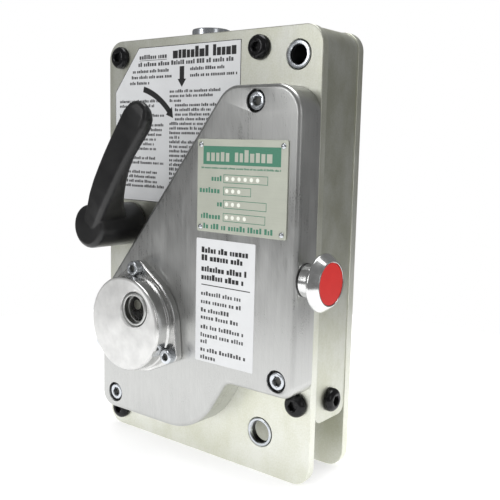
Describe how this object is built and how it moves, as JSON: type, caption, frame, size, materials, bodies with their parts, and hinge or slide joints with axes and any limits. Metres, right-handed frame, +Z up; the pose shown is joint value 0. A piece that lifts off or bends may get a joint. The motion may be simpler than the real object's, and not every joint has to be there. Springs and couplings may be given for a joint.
{
  "type": "rope grab",
  "caption": "Overspeed rope grab for a wire rope: steel case, gripping jaws, governor with sight window, reset lever and emergency push button.",
  "frame": {"origin": "under the middle of the whole device, on the ground it stands on", "axes": "+Z up along the rope, +X to the right seen from the front, +Y from the front cover to the rear plate"},
  "size_m": [0.1774, 0.0864, 0.2553],
  "materials": {
    "zinc_plate": "satin zinc-plated steel, slightly yellow-green",
    "band_steel": "satin zinc-plated sheet",
    "aluminium": "brushed with a vertical grain, bright fillets",
    "turned_aluminium": "turned bright",
    "bright_zinc": "bright zinc",
    "plain_steel": "machined",
    "black_steel": "glossy black oxide",
    "black_plastic": "satin moulded",
    "red_disc": "red, flat",
    "polished_steel": "polished stainless",
    "weight_brass": "machined",
    "dark_disc": "dark paint with one pale dot",
    "sight_glass": "clear",
    "nameplate": "printed aluminium"
  },
  "bodies": {
    "case": {"front_plate": "zinc_plate", "rear_plate": "zinc_plate", "side_band": "band_steel", "top_eye_bush": "bright_zinc", "low_eye_bush_front": "bright_zinc", "low_eye_bush_rear": "bright_zinc", "rope_inlet": "bright_zinc", "rope_outlet": "plain_steel", "front_cover": "aluminium", "governor_cover": "turned_aluminium", "sight_bezel": "polished_steel", "sight_glass": "sight_glass", "roller_arm_pin": "plain_steel", "fixed_jaw": "plain_steel", "jaw_dowel_lower": "plain_steel", "jaw_dowel_upper": "plain_steel", "upper_link_pin": "plain_steel", "jaw_spring": "bright_zinc", "button_guide": "plain_steel", "nameplate": "nameplate", "band_screw_right": "black_steel", "tie_bar_tl": "plain_steel", "plate_screw_tl": "black_steel", "tie_bar_tr": "plain_steel", "plate_screw_tr": "black_steel", "tie_bar_br": "plain_steel", "plate_screw_br": "black_steel", "tie_bar_bl": "plain_steel", "plate_screw_bl": "black_steel", "cover_screw_top": "bright_zinc", "cover_screw_right": "bright_zinc", "cover_screw_left": "bright_zinc", "governor_screw_1": "bright_zinc", "governor_screw_2": "bright_zinc", "governor_screw_3": "bright_zinc"},
    "lever": {"reset_lever": "black_plastic", "lever_screw": "black_steel", "reset_shaft": "plain_steel", "lower_link": "zinc_plate", "jaw_pin_lower": "plain_steel"},
    "upper_link": {"upper_link": "zinc_plate", "jaw_pin_upper": "plain_steel"},
    "moving_jaw": {"moving_jaw": "plain_steel"},
    "governor": {"governor_shaft": "plain_steel", "drive_wheel": "plain_steel", "governor_disc": "plain_steel", "indicator_disc": "dark_disc", "governor_spring": "bright_zinc"},
    "flyweight_right": {"flyweight_right": "weight_brass"},
    "flyweight_left": {"flyweight_left": "weight_brass"},
    "roller_arm": {"roller_arm": "zinc_plate", "roller_pin": "plain_steel"},
    "pressure_roller": {"pressure_roller": "plain_steel"},
    "trip_gear": {"trip_shaft": "zinc_plate", "trip_pawl": "plain_steel"},
    "button": {"button_stem": "plain_steel"},
    "button_knob": {"button_head": "polished_steel", "button_disc": "red_disc"}
  },
  "joints": [
    {"name": "reset_lever_turn", "type": "hinge", "parent": "case", "child": "lever", "pos_m": [-0.06765, 0.02236, 0.1365], "axis": [0, -1, 0], "range_deg": [0, 45], "deforming": ["jaw_spring"]},
    {"name": "upper_link_swing", "type": "hinge", "parent": "case", "child": "upper_link", "pos_m": [-0.06765, 0.02236, 0.1765], "axis": [0, -1, 0], "range_deg": [0, 45]},
    {"name": "moving_jaw_level", "type": "hinge", "parent": "lever", "child": "moving_jaw", "pos_m": [-0.05618, 0.02236, 0.12012], "axis": [0, -1, 0], "range_deg": [-45, 0]},
    {"name": "governor_spin", "type": "hinge", "parent": "case", "child": "governor", "pos_m": [-0.03815, 0.02236, 0.081], "axis": [0, 1, 0], "continuous": true},
    {"name": "flyweight_right_swing", "type": "hinge", "parent": "governor", "child": "flyweight_right", "pos_m": [-0.02865, -0.01174, 0.07045], "axis": [0, 1, 0], "range_deg": [0, 18], "stiffness_Nm_per_rad": 0.05, "springref_deg": -20.05, "deforming": ["governor_spring"]},
    {"name": "flyweight_left_swing", "type": "hinge", "parent": "governor", "child": "flyweight_left", "pos_m": [-0.04765, -0.01174, 0.09155], "axis": [0, 1, 0], "range_deg": [0, 18], "stiffness_Nm_per_rad": 0.05, "springref_deg": -20.05},
    {"name": "roller_arm_swing", "type": "hinge", "parent": "case", "child": "roller_arm", "pos_m": [0.00935, 0.02236, 0.05], "axis": [0, 1, 0], "range_deg": [0, 8], "stiffness_Nm_per_rad": 1, "springref_deg": -17.19},
    {"name": "pressure_roller_spin", "type": "hinge", "parent": "roller_arm", "child": "pressure_roller", "pos_m": [-0.0074, 0.02236, 0.081], "axis": [0, 1, 0], "continuous": true},
    {"name": "trip_turn", "type": "hinge", "parent": "case", "child": "trip_gear", "pos_m": [-0.00465, 0.02236, 0.106], "axis": [0, -1, 0], "range_deg": [0, 8], "stiffness_Nm_per_rad": 0.3, "springref_deg": -17.19},
    {"name": "button_press", "type": "slide", "parent": "case", "child": "button", "axis": [-1, 0, 0], "range_m": [0, 0.0032], "stiffness_N_per_m": 800, "springref_m": -0.004},
    {"name": "button_lock_turn", "type": "hinge", "parent": "button", "child": "button_knob", "pos_m": [0.07635, -0.00704, 0.1184], "axis": [1, 0, 0], "range_deg": [0, 45]}
  ],
  "couplings": [
    {"joint": "upper_link_swing", "follows": "reset_lever_turn", "ratio": 1},
    {"joint": "moving_jaw_level", "follows": "reset_lever_turn", "ratio": -1},
    {"joint": "flyweight_left_swing", "follows": "flyweight_right_swing", "ratio": 1}
  ]
}
